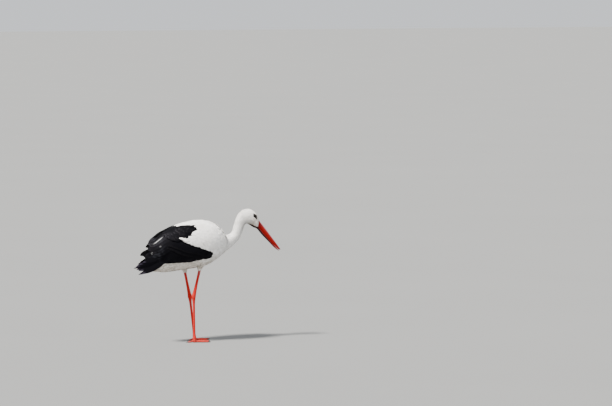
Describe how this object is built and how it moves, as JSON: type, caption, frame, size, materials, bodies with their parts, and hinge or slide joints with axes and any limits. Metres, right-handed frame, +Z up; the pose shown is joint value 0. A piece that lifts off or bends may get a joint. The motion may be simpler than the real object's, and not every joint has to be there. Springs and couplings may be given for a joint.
{
  "type": "white stork",
  "caption": "Life-size standing adult white stork, neck reaching forward and bill lowered to feed, wings folded; still model.",
  "frame": {"origin": "on the floor under the middle of the model's box", "axes": "+X the way the body faces, +Y its left, +Z up"},
  "size_m": [0.7806, 0.1992, 0.645],
  "materials": {
    "white_feathers": "soft overlapping white body feathers, warm white",
    "black_feathers": "stiff black flight feathers and scapulars with a faint blue-violet gloss",
    "bill_horn": "smooth satin red horn",
    "leg_skin": "scaled coral red skin",
    "eye": "wet glossy dark brown",
    "claw_horn": "dull dark horn"
  },
  "bodies": {
    "root": {"trunk": "white_feathers", "neck_lower": "white_feathers", "neck_upper": "white_feathers", "head": "white_feathers", "tail": "white_feathers", "wing_coverts_left": "white_feathers", "wing_coverts_right": "white_feathers", "thigh_left": "white_feathers", "thigh_right": "white_feathers", "scapulars_left": "black_feathers", "scapulars_right": "black_feathers", "tertials_left": "black_feathers", "tertials_right": "black_feathers", "secondaries_left": "black_feathers", "secondaries_right": "black_feathers", "primaries_left": "black_feathers", "primaries_right": "black_feathers", "bill_upper": "bill_horn", "bill_lower": "bill_horn", "shank_left": "leg_skin", "shank_right": "leg_skin", "tarsus_left": "leg_skin", "tarsus_right": "leg_skin", "foot_left": "leg_skin", "foot_right": "leg_skin", "eye_left": "eye", "eye_right": "eye", "claw_inner_left": "claw_horn", "claw_middle_left": "claw_horn", "claw_outer_left": "claw_horn", "claw_hind_left": "claw_horn", "claw_inner_right": "claw_horn", "claw_middle_right": "claw_horn", "claw_outer_right": "claw_horn", "claw_hind_right": "claw_horn"}
  },
  "joints": []
}
